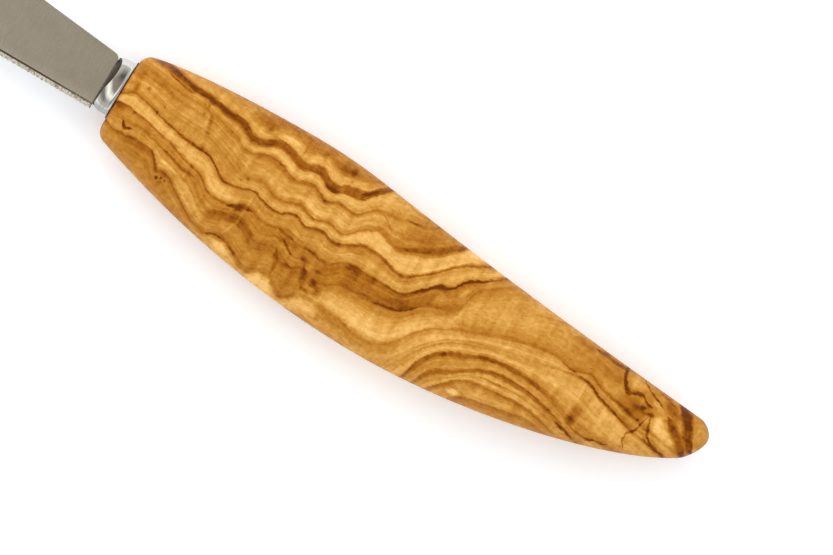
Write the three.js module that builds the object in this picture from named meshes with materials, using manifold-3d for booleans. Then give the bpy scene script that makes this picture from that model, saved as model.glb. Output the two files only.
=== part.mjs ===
// Cheese knife: a stamped stainless blade with a stick tang, a turned steel bolster and an olive-wood handle.
// The tang runs through the bolster into a blind bore in the wood, where cured epoxy holds it.
// Millimetres. The knife lies on its side: x runs from the blade to the tail of the handle, y rises to the
// spine and z is up. It is drawn with x = 0 at the front face of the wood and the x axis along the tang.

import * as THREE from "three";
import { ParametricGeometry } from "three/addons/geometries/ParametricGeometry.js";
import { mergeVertices } from "three/addons/utils/BufferGeometryUtils.js";
import Module from "manifold-3d";

// Handle: lengths run back from the front face, heights are measured from the tang's axis
const HANDLE_LENGTH = 110;
const HANDLE_THICKNESS = 16;
const FRONT_THICKNESS = 14;
const TAIL_THICKNESS = 8;
const FRONT_SHOULDER = 6;
const TAIL_SHOULDER = 72;
const FRONT_RISE = 6.7;
const FRONT_DROP = 8.2;
const FRONT_CORNER = 1.5;
const CREST_RISE = 9.75;
const CREST_FROM_FRONT = 32;
const BELLY_DROP = 17.1;
const BELLY_FROM_FRONT = 52.5;
const TAIL_RISE = 2.5;
const TAIL_DROP = 2.5;
const TAIL_ROUND = 2.8;
const SECTION_POWER = 2.5;
const LAND_ANGLE = THREE.MathUtils.degToRad(13.5);

// How each side of the outline bends, as shares of the stretch in front of its crest and of the one behind
const SPINE_BEND = {
  frontPull: 0.23,
  frontAim: 0.9,
  crestLead: 0.05,
  crestTrail: 0.18,
  tailPull: 0.2,
  tailAim: 0.36,
};
const BELLY_BEND = {
  frontPull: 0.28,
  frontAim: 0.55,
  crestLead: 0.39,
  crestTrail: 0.38,
  tailPull: 0.87,
  tailAim: 0.48,
};

// Bolster: radii are half-heights along y, and the collar is flattened along z
const BOLSTER_LENGTH = 2.9;
const BOLSTER_FLATNESS = 0.8;
const FLANGE_RADIUS = 5.3;
const FLANGE_LENGTH = 0.45;
const FLANGE_ROUND = 0.15;
const COVE_RADIUS = 4.4;
const BEAD_RADIUS = 4.8;
const BEAD_LENGTH = 1.6;
const SHOULDER_SETBACK = 0.9;
const SPIGOT_LENGTH = 4;

// Blade: lengths run forward from the heel, heights are measured from the tang's axis
const BLADE_LENGTH = 105;
const BLADE_THICKNESS = 1.5;
const HEEL_RISE = 4.6;
const HEEL_DROP = 5.2;
const HEEL_CORNER = 1.2;
const SPINE_STRAIGHT = 60;
const SPINE_SLOPE = 0.095;
const EDGE_STRAIGHT = 58;
const EDGE_SLOPE = 0.011;
const GROUND_THICKNESS = 0.7;
const GRIND_ANGLE = THREE.MathUtils.degToRad(1.65);
const EDGE_THICKNESS = 0.2;
const EDGE_BEVEL = 0.85;
const TOOTH_PITCH = 0.9;
const TOOTH_DEPTH = 0.12;
const TOOTHED_LENGTH = 81;
const SPINE_PULL = 14;
const BELLY_PULL = 26;

// Fork at the tip: two prongs that point forward and up
const FORK_TIP_RISE = 13;
const FORK_ANGLE = THREE.MathUtils.degToRad(40);
const FORK_SPREAD = 9;
const FORK_DEPTH = 8;
const NOTCH_RADIUS = 1.6;
const PRONG_ROUND = 0.9;
const PRONG_TAPER = THREE.MathUtils.degToRad(18);
const PRONG_PULL = 12;

// Tang and the epoxy round it
const TANG_LENGTH = 58.3;
const TANG_WIDTH = 5;
const TANG_POINT = 4;
const KEY_RADIUS = 0.8;
const KEY_PITCH = 12;
const KEY_PAIRS = 3;
const EPOXY_WALL = 0.6;
const EPOXY_END = 2;

// Clearances
const FIT_GAP = 0.3;
const GLUE_LINE = 0.25;
const WELD = 0.05;
const TRIM_REACH = 1;

// Smoothness
const ROUND_SIDES = 48;
const BORE_SIDES = 32;
const SECTION_SIDES = 40;
const CORNER_STEPS = 6;
const BODY_STEPS = 40;
const TAIL_STEPS = 10;
const CURVE_STEPS = 24;
const TIP_STEPS = 12;
const TOOTH_STEPS = 4;

// What follows from them
const BOLSTER_REAR = -GLUE_LINE;
const HEEL_X = BOLSTER_REAR - BOLSTER_LENGTH;
const SLOT_WIDTH = TANG_WIDTH + 2 * FIT_GAP;
const SLOT_THICKNESS = BLADE_THICKNESS + 2 * FIT_GAP;
const EPOXY_RADIUS = Math.hypot(SLOT_WIDTH, SLOT_THICKNESS) / 2 + EPOXY_WALL;
const BORE_RADIUS = EPOXY_RADIUS + FIT_GAP;
const TANG_END = HEEL_X + TANG_LENGTH;
const EPOXY_REAR = TANG_END + FIT_GAP + EPOXY_END;
const BORE_DEPTH = EPOXY_REAR + FIT_GAP;

const wasm = await Module();
wasm.setup();

// A closed geometry as a solid. Triangles that collapse at a pole or a seam are dropped.
function solid(geometry) {
  const loose = geometry.index ? geometry.toNonIndexed() : geometry;
  const bare = new THREE.BufferGeometry().setAttribute("position", loose.getAttribute("position"));
  const merged = mergeVertices(bare, 1e-4);
  const corners = merged.index.array;
  const kept = [];
  for (let i = 0; i < corners.length; i += 3) {
    const [a, b, c] = corners.slice(i, i + 3);
    if (a !== b && b !== c && c !== a) kept.push(a, b, c);
  }
  return new wasm.Manifold(
    new wasm.Mesh({
      numProp: 3,
      vertProperties: merged.getAttribute("position").array,
      triVerts: new Uint32Array(kept),
    }),
  );
}

// A solid as a named mesh of one material.
function piece(name, made, material) {
  const { vertProperties, triVerts } = made.getMesh();
  const geometry = new THREE.BufferGeometry();
  geometry.setAttribute("position", new THREE.BufferAttribute(vertProperties, 3));
  geometry.setIndex(new THREE.BufferAttribute(triVerts, 1));
  geometry.computeVertexNormals();
  const mesh = new THREE.Mesh(geometry, material);
  mesh.name = name;
  return mesh;
}

// An outline in the x-y plane, extruded to a plate that is centred on z = 0.
function plate(points, thickness) {
  const settings = { depth: thickness, bevelEnabled: false };
  const geometry = new THREE.ExtrudeGeometry(new THREE.Shape(points), settings);
  return solid(geometry.translate(0, 0, -thickness / 2));
}

// A block from x0 to x1, centred on the tang's axis.
function block(x0, x1, width, thickness) {
  return solid(new THREE.BoxGeometry(x1 - x0, width, thickness).translate((x0 + x1) / 2, 0, 0));
}

// A round bar from x0 to x1 on the tang's axis.
function bar(x0, x1, radius, sides) {
  const geometry = new THREE.CylinderGeometry(radius, radius, x1 - x0, sides).rotateZ(Math.PI / 2);
  return solid(geometry.translate((x0 + x1) / 2, 0, 0));
}

// The points that round a corner off, from the side of "before" to the side of "after".
function rounded(before, corner, after, reach, steps) {
  const start = corner.clone().add(before.clone().sub(corner).setLength(reach));
  const end = corner.clone().add(after.clone().sub(corner).setLength(reach));
  return new THREE.QuadraticBezierCurve(start, corner, end).getPoints(steps);
}

// The height of a curve at x, for a curve whose x only grows.
function heightAt(curve, x) {
  let low = 0;
  let high = 1;
  for (let i = 0; i < 40; i++) {
    const middle = (low + high) / 2;
    if (curve.getPoint(middle).x < x) low = middle;
    else high = middle;
  }
  return curve.getPoint(low).y;
}

const point = (x, y) => new THREE.Vector2(x, y);

// Handle: an outline of two arched curves, lofted through flattened oval sections

// One side of the outline, from the front to its highest or lowest point and on to the tail.
function arch(front, crestX, crest, tail, bend) {
  const run = HANDLE_LENGTH - crestX;
  const rise = new THREE.CubicBezierCurve(
    point(0, front),
    point(crestX * bend.frontPull, THREE.MathUtils.lerp(front, crest, bend.frontAim)),
    point(crestX * (1 - bend.crestLead), crest),
    point(crestX, crest),
  );
  const fall = new THREE.CubicBezierCurve(
    point(crestX, crest),
    point(crestX + run * bend.crestTrail, crest),
    point(crestX + run * bend.tailPull, THREE.MathUtils.lerp(crest, tail, bend.tailAim)),
    point(HANDLE_LENGTH, tail),
  );
  return (x) => heightAt(x < crestX ? rise : fall, x);
}

const spineSide = arch(FRONT_RISE, CREST_FROM_FRONT, CREST_RISE, TAIL_RISE, SPINE_BEND);
const bellySide = arch(-FRONT_DROP, BELLY_FROM_FRONT, -BELLY_DROP, -TAIL_DROP, BELLY_BEND);

// Slim at the front, full from one shoulder to the other, and tapered to the tail.
function thicknessAt(x) {
  const front = THREE.MathUtils.smoothstep(x, -FRONT_SHOULDER, FRONT_SHOULDER) * 2 - 1;
  const tail = THREE.MathUtils.smoothstep(x, TAIL_SHOULDER, 2 * HANDLE_LENGTH - TAIL_SHOULDER) * 2;
  const slimmed = THREE.MathUtils.lerp(FRONT_THICKNESS, HANDLE_THICKNESS, front);
  return THREE.MathUtils.lerp(slimmed, TAIL_THICKNESS, tail);
}

// How far the rounded front edge stands in from the outline at x.
function cornerInset(x) {
  const left = Math.max(0, FRONT_CORNER - x);
  return FRONT_CORNER - Math.sqrt(FRONT_CORNER ** 2 - left ** 2);
}

// The share of the full section that is left in the rounded tail at x.
function tailShare(x) {
  const past = Math.max(0, x - (HANDLE_LENGTH - TAIL_ROUND)) / TAIL_ROUND;
  return Math.sqrt(Math.max(0, 1 - past ** 2));
}

// Even angles round the front corner and the tail, even lengths between them.
function handleStations() {
  const quarter = Math.PI / 2;
  const tailStart = HANDLE_LENGTH - TAIL_ROUND;
  const stations = [];
  for (let i = 0; i < CORNER_STEPS; i++) {
    stations.push(FRONT_CORNER * (1 - Math.cos((quarter * i) / CORNER_STEPS)));
  }
  for (let i = 0; i < BODY_STEPS; i++) {
    stations.push(THREE.MathUtils.lerp(FRONT_CORNER, tailStart, i / BODY_STEPS));
  }
  for (let i = 0; i <= TAIL_STEPS; i++) {
    stations.push(tailStart + TAIL_ROUND * Math.sin((quarter * i) / TAIL_STEPS));
  }
  return stations;
}

const swell = (share) => Math.sign(share) * Math.abs(share) ** (2 / SECTION_POWER);

function handleBody() {
  const stations = handleStations();
  const rings = stations.length;
  const landLimit = swell(Math.cos(LAND_ANGLE));
  // Ring 0 closes the front face at its centre, and the last ring is the tip of the tail.
  const surface = (across, along, target) => {
    const ring = Math.round(along * rings);
    const x = stations[Math.max(0, ring - 1)];
    const inset = cornerInset(x);
    const top = spineSide(x) - inset;
    const bottom = bellySide(x) + inset;
    const share = ring === 0 ? 0 : tailShare(x);
    const angle = 2 * Math.PI * (across + 0.5 / SECTION_SIDES);
    const halfHeight = ((top - bottom) / 2) * share;
    const halfThickness = (thicknessAt(x) / 2 - inset) * share;
    const y = (top + bottom) / 2 + halfHeight * swell(Math.cos(angle));
    const z = halfThickness * THREE.MathUtils.clamp(swell(Math.sin(angle)) / landLimit, -1, 1);
    target.set(x, y, z);
  };
  return solid(new ParametricGeometry(surface, SECTION_SIDES, rings));
}

function makeHandle() {
  const bore = bar(-TRIM_REACH, BORE_DEPTH, BORE_RADIUS, BORE_SIDES);
  return handleBody().subtract(bore);
}

// Bolster: a turned collar with a bead, a cove and a flange, and a spigot behind it

function bolsterCollar() {
  const beadRear = HEEL_X + BEAD_LENGTH;
  const beadPull = 2 * BEAD_RADIUS - COVE_RADIUS;
  const flangeFront = BOLSTER_REAR - FLANGE_LENGTH;
  // The profile gives the radius first and the place along the knife second.
  const profile = new THREE.Path()
    .moveTo(0, HEEL_X)
    .lineTo(COVE_RADIUS, HEEL_X)
    .quadraticCurveTo(beadPull, (HEEL_X + beadRear) / 2, COVE_RADIUS, beadRear)
    .quadraticCurveTo(COVE_RADIUS, flangeFront, FLANGE_RADIUS - FLANGE_ROUND, flangeFront)
    .quadraticCurveTo(FLANGE_RADIUS, flangeFront, FLANGE_RADIUS, flangeFront + FLANGE_ROUND)
    .lineTo(FLANGE_RADIUS, BOLSTER_REAR)
    .lineTo(0, BOLSTER_REAR);
  const turned = new THREE.LatheGeometry(profile.getPoints(CORNER_STEPS), ROUND_SIDES).rotateZ(-Math.PI / 2);
  return solid(turned.scale(1, 1, BOLSTER_FLATNESS));
}

// What is filed off the front of the collar on one side, so that it slopes back from the blade.
function shoulderCut(side) {
  const inner = side * (SLOT_THICKNESS / 2);
  const outer = side * FLANGE_RADIUS * BOLSTER_FLATNESS;
  const wedge = [
    point(HEEL_X - TRIM_REACH, inner),
    point(HEEL_X, inner),
    point(HEEL_X + SHOULDER_SETBACK, outer),
    point(HEEL_X - TRIM_REACH, outer),
  ];
  const settings = { depth: 2 * FLANGE_RADIUS, bevelEnabled: false };
  const geometry = new THREE.ExtrudeGeometry(new THREE.Shape(wedge), settings).rotateX(Math.PI / 2);
  return solid(geometry.translate(0, FLANGE_RADIUS, 0));
}

function makeBolster() {
  const spigot = bar(BOLSTER_REAR - FLANGE_LENGTH, SPIGOT_LENGTH, EPOXY_RADIUS, BORE_SIDES);
  const slot = block(HEEL_X - TRIM_REACH, SPIGOT_LENGTH + TRIM_REACH, SLOT_WIDTH, SLOT_THICKNESS);
  const collar = bolsterCollar().subtract(shoulderCut(1)).subtract(shoulderCut(-1));
  return collar.add(spigot).subtract(slot);
}

// Blade: the stamped outline, ground to a wedge below the spine, bevelled and toothed along the edge

const forkAim = point(-Math.cos(FORK_ANGLE), Math.sin(FORK_ANGLE));
const forkAcross = point(Math.sin(FORK_ANGLE), Math.cos(FORK_ANGLE));
const frontTip = point(HEEL_X - BLADE_LENGTH, FORK_TIP_RISE);
const backTip = frontTip.clone().addScaledVector(forkAcross, FORK_SPREAD);

// The cutting edge as a smooth curve, from the heel to the tip of the front prong.
function edgeCurve() {
  const heel = point(HEEL_X, -HEEL_DROP);
  const bellyStart = heel.clone().add(point(-1, -EDGE_SLOPE).multiplyScalar(EDGE_STRAIGHT));
  const bellyLead = bellyStart.clone().add(point(-1, -EDGE_SLOPE).multiplyScalar(BELLY_PULL));
  const tipAim = FORK_ANGLE + PRONG_TAPER;
  const tipLead = frontTip.clone().add(point(Math.cos(tipAim), -Math.sin(tipAim)).multiplyScalar(PRONG_PULL));
  const edge = new THREE.CurvePath();
  edge.add(new THREE.LineCurve(heel, bellyStart));
  edge.add(new THREE.CubicBezierCurve(bellyStart, bellyLead, tipLead, frontTip));
  return edge;
}

// The back of the blade in front of its straight part, up to the tip of the back prong.
function spineCurve() {
  const heel = point(HEEL_X, HEEL_RISE);
  const start = heel.clone().add(point(-1, SPINE_SLOPE).multiplyScalar(SPINE_STRAIGHT));
  const lead = start.clone().add(point(-1, SPINE_SLOPE).multiplyScalar(SPINE_PULL));
  const tipLead = backTip.clone().addScaledVector(forkAim, -SPINE_PULL);
  return new THREE.CubicBezierCurve(start, lead, tipLead, backTip);
}

// The edge with its scalloped teeth, and the plain stretch from the last tooth to the tip.
function toothedEdge(edge) {
  const count = Math.round(TOOTHED_LENGTH / TOOTH_PITCH);
  const length = edge.getLength();
  const points = [];
  for (let step = 0; step < count * TOOTH_STEPS; step++) {
    const share = ((step / TOOTH_STEPS) * TOOTH_PITCH) / length;
    const depth = TOOTH_DEPTH * Math.abs(Math.sin((Math.PI * step) / TOOTH_STEPS));
    const inward = edge.getTangentAt(share).rotateAround(point(0, 0), -Math.PI / 2);
    points.push(edge.getPointAt(share).addScaledVector(inward, depth));
  }
  const end = (count * TOOTH_PITCH) / length;
  for (let i = 0; i < TIP_STEPS; i++) {
    points.push(edge.getPointAt(THREE.MathUtils.lerp(end, 1, i / TIP_STEPS)));
  }
  return points;
}

// The stamped outline, round from the heel's upper corner by the tip and back along the edge.
function bladeOutline(edge) {
  const spine = spineCurve();
  const heelTop = point(HEEL_X, HEEL_RISE);
  const heelBottom = point(HEEL_X, -HEEL_DROP);
  const notch = backTip.clone().add(frontTip).multiplyScalar(0.5).addScaledVector(forkAim, -FORK_DEPTH);
  const notchArc = [];
  for (let i = 0; i <= CORNER_STEPS; i++) {
    const turn = (Math.PI * i) / CORNER_STEPS;
    const across = forkAcross.clone().multiplyScalar(NOTCH_RADIUS * Math.cos(turn));
    notchArc.push(notch.clone().add(across).addScaledVector(forkAim, -NOTCH_RADIUS * Math.sin(turn)));
  }
  const beforeTip = spine.getPoint(1 - 1 / CURVE_STEPS);
  const lower = toothedEdge(edge);
  return [
    ...rounded(heelBottom, heelTop, spine.v0, HEEL_CORNER, CORNER_STEPS),
    ...spine.getPoints(CURVE_STEPS).slice(0, -1),
    ...rounded(beforeTip, backTip, notchArc[0], PRONG_ROUND, CORNER_STEPS),
    ...notchArc,
    ...rounded(notchArc.at(-1), frontTip, lower.at(-1), PRONG_ROUND, CORNER_STEPS),
    ...lower.reverse(),
  ];
}

// Everything that the two edge bevels leave: a plate that reaches far above the edge, chamfered along it.
function bevelEnvelope(edge) {
  const reach = BLADE_LENGTH;
  const half = BLADE_THICKNESS / 2;
  const flank = GROUND_THICKNESS / 2 - EDGE_THICKNESS / 2 + EDGE_BEVEL * Math.tan(GRIND_ANGLE);
  const inset = (half * EDGE_BEVEL) / flank;
  const [straight, belly] = edge.curves;
  const first = straight.v1;
  const last = belly.v3;
  const outline = [
    first,
    ...belly.getPoints(CURVE_STEPS),
    last.clone().add(point(-reach, 2 * reach)),
    first.clone().add(point(reach, 2 * reach)),
    first.clone().add(point(reach, 0)),
  ];
  const geometry = new THREE.ExtrudeGeometry(new THREE.Shape(outline.reverse()), {
    depth: EDGE_THICKNESS,
    bevelThickness: half,
    bevelSize: inset,
    bevelOffset: -inset,
    bevelSegments: 1,
  });
  return solid(geometry.translate(0, 0, -EDGE_THICKNESS / 2));
}

// The sheet after grinding: a wedge that thickens from the edge until it reaches the sheet's own thickness.
function groundSheet() {
  const low = -HEEL_DROP - EDGE_SLOPE * EDGE_STRAIGHT - TRIM_REACH;
  const high = backTip.y + TRIM_REACH;
  const half = BLADE_THICKNESS / 2;
  const thinAt = (y) => GROUND_THICKNESS / 2 + (y + HEEL_DROP) * Math.tan(GRIND_ANGLE);
  const grindTop = (half - GROUND_THICKNESS / 2) / Math.tan(GRIND_ANGLE) - HEEL_DROP;
  const section = [
    point(-thinAt(low), low),
    point(thinAt(low), low),
    point(half, grindTop),
    point(half, high),
    point(-half, high),
    point(-half, grindTop),
  ];
  const settings = { depth: BLADE_LENGTH + 2 * TRIM_REACH, bevelEnabled: false };
  const geometry = new THREE.ExtrudeGeometry(new THREE.Shape(section), settings).rotateY(-Math.PI / 2);
  return solid(geometry.translate(HEEL_X + TRIM_REACH, 0, 0));
}

// The tang's outline, with round key notches along both sides. The epoxy's socket is this outline, grown.
function tangOutline(grow) {
  const half = TANG_WIDTH / 2 + grow;
  const keyRadius = KEY_RADIUS - grow;
  const pointStart = TANG_END - TANG_POINT;
  const upper = [point(HEEL_X - WELD, half)];
  for (let key = KEY_PAIRS - 1; key >= 0; key--) {
    const centre = pointStart - KEY_RADIUS - (key + 0.5) * KEY_PITCH;
    for (let i = 0; i <= CORNER_STEPS; i++) {
      const turn = Math.PI * (1 + i / CORNER_STEPS);
      upper.push(point(centre + keyRadius * Math.cos(turn), half + keyRadius * Math.sin(turn)));
    }
  }
  upper.push(point(pointStart + grow, half), point(TANG_END + grow, half / 2));
  const lower = upper.map((p) => point(p.x, -p.y)).reverse();
  return [...lower, ...upper];
}

function makeBlade() {
  const edge = edgeCurve();
  const stamped = plate(bladeOutline(edge), BLADE_THICKNESS + 2 * TRIM_REACH);
  const ground = stamped.intersect(groundSheet()).intersect(bevelEnvelope(edge));
  return ground.add(plate(tangOutline(0), BLADE_THICKNESS));
}

// Epoxy: a plug that fills the bore behind the spigot, with the tang's socket in it

function makeEpoxy() {
  const plug = bar(SPIGOT_LENGTH + FIT_GAP, EPOXY_REAR, EPOXY_RADIUS, BORE_SIDES);
  return plug.subtract(plate(tangOutline(FIT_GAP), SLOT_THICKNESS));
}

const polishedSteel = new THREE.MeshStandardMaterial({ color: 0xb9b6ae, roughness: 0.22, metalness: 1 });
const brightSteel = new THREE.MeshStandardMaterial({ color: 0xd6d5d2, roughness: 0.12, metalness: 1 });
const oliveWood = new THREE.MeshStandardMaterial({ color: 0xc88c38, roughness: 0.5, metalness: 0 });
const curedEpoxy = new THREE.MeshStandardMaterial({ color: 0xd9c79a, roughness: 0.35, metalness: 0 });

const knife = new THREE.Group();
knife.add(
  piece("blade", makeBlade(), polishedSteel),
  piece("bolster", makeBolster(), brightSteel),
  piece("handle", makeHandle(), oliveWood),
  piece("tang_epoxy", makeEpoxy(), curedEpoxy),
);

// The knife rests on z = 0, with the middle of its length and width over the origin.
const box = new THREE.Box3().setFromObject(knife);
const middle = box.getCenter(new THREE.Vector3());
knife.children.forEach((mesh) => mesh.position.set(-middle.x, -middle.y, -box.min.z));

export default knife;
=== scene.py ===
from math import cos, hypot, pi, radians, sin, sqrt

import bmesh
import bpy
from mathutils import Matrix, Vector


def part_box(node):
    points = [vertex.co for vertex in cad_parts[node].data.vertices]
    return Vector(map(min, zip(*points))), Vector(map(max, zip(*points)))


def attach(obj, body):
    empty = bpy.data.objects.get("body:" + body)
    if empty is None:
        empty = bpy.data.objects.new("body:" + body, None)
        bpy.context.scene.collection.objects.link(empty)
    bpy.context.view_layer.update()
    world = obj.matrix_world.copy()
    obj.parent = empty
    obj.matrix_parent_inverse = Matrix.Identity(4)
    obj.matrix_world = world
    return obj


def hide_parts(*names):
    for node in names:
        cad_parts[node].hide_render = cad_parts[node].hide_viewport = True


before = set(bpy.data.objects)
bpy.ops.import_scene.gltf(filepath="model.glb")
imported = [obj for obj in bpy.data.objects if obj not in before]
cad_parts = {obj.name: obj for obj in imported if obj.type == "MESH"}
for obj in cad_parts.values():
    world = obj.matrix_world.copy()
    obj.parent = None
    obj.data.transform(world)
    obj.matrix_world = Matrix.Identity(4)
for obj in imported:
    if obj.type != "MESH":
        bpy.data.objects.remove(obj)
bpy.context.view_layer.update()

# --------------------------------------------------------------------------------------------------
# Blade: stamped from stainless sheet in one piece with its stick tang, ground to a thin wedge on
# both sides, then bevelled and finely toothed along the edge. The tang goes back through the
# bolster into the wood.

# The knife is drawn in millimetres from the front face of the wood, on the axis of the tang.
MM_PER_METRE = 1000
axis_point = (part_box("bolster")[0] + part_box("bolster")[1]) / 2
axis_point.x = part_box("handle")[0].x
from_drawing = Matrix.Translation(axis_point) @ Matrix.Scale(1 / MM_PER_METRE, 4)

HEEL_X = -3.15
TEETH_TOP = -4
GRIND_LINE = 0.15  # rounding where the bevel meets the ground face
EDGE_BREAK = 0.05
WELD_GAP = 0.002

# Marks on the faces, which the steel's material reads.
ON_BEVEL = 0.5
ON_GRIND_LINE = 1.0


def finished_piece(bm, name, material, crease):
    """The mesh in its place on the knife, shaded smooth up to a crease angle in degrees."""
    bmesh.ops.recalc_face_normals(bm, faces=bm.faces[:])
    bmesh.ops.transform(bm, matrix=from_drawing, verts=bm.verts[:])
    for face in bm.faces:
        face.smooth = True
    for edge in bm.edges:
        edge.smooth = edge.is_manifold and edge.calc_face_angle(0) < radians(crease)
    mesh = bpy.data.meshes.new(name)
    bm.to_mesh(mesh)
    bm.free()
    mesh.materials.append(material)
    piece = bpy.data.objects.new(name, mesh)
    bpy.context.collection.objects.link(piece)
    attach(piece, "root")
    return piece


def start_material(name):
    """A new material, whose nodes are the ones added from here on, and its shader."""
    global tree
    material = bpy.data.materials.new(name)
    material.use_nodes = True
    tree = material.node_tree
    return material, tree.nodes["Principled BSDF"]


def add(kind, sockets, **settings):
    """One node, with each input given a value or another node's output."""
    made = tree.nodes.new("ShaderNode" + kind)
    for name, value in settings.items():
        setattr(made, name, value)
    for name, value in sockets.items():
        if isinstance(value, bpy.types.NodeSocket):
            tree.links.new(value, made.inputs[name])
        else:
            made.inputs[name].default_value = value
    return made


def join(socket, target):
    """A link from a node's output to another node's input."""
    tree.links.new(socket, target)


def maths(operation, *values):
    """One sum on one or two values."""
    return add("Math", dict(enumerate(values)), operation=operation).outputs[0]


def drawing_place():
    """Object coordinates as places on the drawing, in millimetres."""
    return add("Mapping", {
        "Vector": add("TexCoord", {}).outputs["Object"],
        "Location": -axis_point * MM_PER_METRE,
        "Scale": (MM_PER_METRE, MM_PER_METRE, MM_PER_METRE),
    }).outputs["Vector"]


def stretched(place, scale):
    """Places drawn out for noise, by its grains a millimetre along each axis."""
    return add("Mapping", {"Vector": place, "Scale": scale}).outputs["Vector"]


def noise(place, detail=2.0, roughness=0.5):
    """Soft noise, from 0 to 1 and mostly between 0.3 and 0.7."""
    return add("TexNoise", {
        "Vector": place, "Scale": 1.0, "Detail": detail, "Roughness": roughness,
    }).outputs["Fac"]


def remap(value, low, high, to_low, to_high):
    """The value moved from one range to another, and held at its ends."""
    return add("MapRange", {
        "Value": value, "From Min": low, "From Max": high, "To Min": to_low, "To Max": to_high,
    }).outputs["Result"]


def mix(share, first, second):
    """The first value, with a share of the second in its place."""
    sockets = {"Factor": share, "A": first, "B": second}
    return add("Mix", sockets, data_type="FLOAT").outputs["Result"]


def srgb(red, green, blue):
    """A colour as it is read off a screen, 0 to 255, as Blender's linear values."""
    return tuple(
        c / 12.92 if c <= 0.04045 else ((c + 0.055) / 1.055) ** 2.4
        for c in (red / 255, green / 255, blue / 255)
    ) + (1.0,)


def ramp(value, stops):
    """The colour for a value, between stops of (value, colour)."""
    made = add("ValToRGB", {"Fac": value})
    while len(made.color_ramp.elements) < len(stops):
        made.color_ramp.elements.new(0.5)
    for element, (position, colour) in zip(made.color_ramp.elements, stops):
        element.position = position
        element.color = colour
    return made.outputs["Color"]


# Satin steel: fine grinding lines that run from the spine to the edge, with a faint cloudiness. The
# line where the bevel meets the ground face has a painted dark reflection, and the seam at the heel
# has painted shade. The bevel is brighter and a little speckled.
ground_steel, shader = start_material("ground_steel")
place = drawing_place()
lines = noise(stretched(place, (14, 0.35, 2)), detail=3, roughness=0.7)
cloud = noise(stretched(place, (0.16, 0.3, 0.2)))
speckle = noise(stretched(place, (4.5, 2.0, 1.0)), detail=3, roughness=0.6)
satin = maths("ADD", maths("MULTIPLY", lines, 0.45), maths("MULTIPLY", cloud, 0.55))
satin = maths("ADD", maths("MULTIPLY", satin, 0.4), 0.30)
strip = add("Attribute", {}, attribute_name="strip").outputs["Fac"]
bevel_share = remap(strip, 0.2, 0.4, 0.0, 1.0)
grind_share = remap(strip, 0.8, 0.9, 0.0, 1.0)
blade_x = add("SeparateXYZ", {"Vector": place}).outputs["X"]
# painted dark reflection along the grind line, fading towards the heel, and painted shade at the
# heel
painted_dark_share = maths("MULTIPLY", grind_share, remap(blade_x, -11.0, -3.5, 1.0, 0.6))
painted_dark_share = maths("MAXIMUM", painted_dark_share, remap(blade_x, HEEL_X - 0.2, HEEL_X - 0.08, 0.0, 0.8))
steel_tone = mix(bevel_share, satin, remap(speckle, 0.3, 0.7, 0.03, 0.42))
steel_tone = mix(painted_dark_share, steel_tone, 0.0)
join(ramp(steel_tone, [
    (0.00, srgb(76, 64, 47)),
    (0.30, srgb(186, 180, 168)),
    (0.70, srgb(210, 204, 192)),
    (1.00, srgb(236, 232, 224)),
]), shader.inputs["Base Color"])
join(remap(lines, 0.3, 0.7, 0.20, 0.30), shader.inputs["Roughness"])
shader.inputs["Metallic"].default_value = 1.0
scratch = add("Bump", {"Strength": 0.06, "Distance": 0.00002, "Height": lines})
join(scratch.outputs["Normal"], shader.inputs["Normal"])

# The drawn blade's triangles are joined into whole faces. Those of the bevel, which lean a little
# out to the edge, are marked.
bm = bmesh.new()
bm.from_mesh(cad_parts["blade"].data)
bmesh.ops.transform(bm, matrix=from_drawing.inverted(), verts=bm.verts[:])
bmesh.ops.remove_doubles(bm, verts=bm.verts[:], dist=WELD_GAP)
bmesh.ops.dissolve_limit(bm, angle_limit=radians(0.3), verts=bm.verts[:], edges=bm.edges[:])
strip_of = bm.faces.layers.float.new("strip")
for face in bm.faces:
    if 0.90 < abs(face.normal.z) < 0.97 and face.normal.y < -0.1:
        face[strip_of] = ON_BEVEL

# The line where the bevel meets the ground face is rounded, and marked too.
grind_edges = [
    e for e in bm.edges
    if e.is_manifold and radians(10) < e.calc_face_angle(0) < radians(30)
    and all(abs(f.normal.z) > 0.9 for f in e.link_faces)
]
grind_line = bmesh.ops.bevel(
    bm, geom=grind_edges, offset=GRIND_LINE,
    affect="EDGES", segments=2, profile=0.5, material=-1,
)
for face in grind_line["faces"]:
    face[strip_of] = ON_GRIND_LINE

# The blade's other sharp edges are broken, all but those of the teeth.
sharp_edges = [
    e for e in bm.edges
    if e.is_manifold and e.calc_face_angle(0) > radians(40)
    and min(v.co.x for v in e.verts) < HEEL_X + 0.1
    and max(v.co.y for v in e.verts) > TEETH_TOP
]
bmesh.ops.bevel(
    bm, geom=sharp_edges, offset=EDGE_BREAK,
    affect="EDGES", segments=2, profile=0.5, material=-1, clamp_overlap=True,
)
blade = finished_piece(bm, "blade_ground", ground_steel, crease=20)
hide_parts("blade")

# --------------------------------------------------------------------------------------------------
# Bolster: a collar turned from stainless bar, pressed a little flat, with a bead, a cove and a
# flange. Its front is filed back on both sides of the blade, and its spigot seats in the bore of
# the handle.

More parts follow.
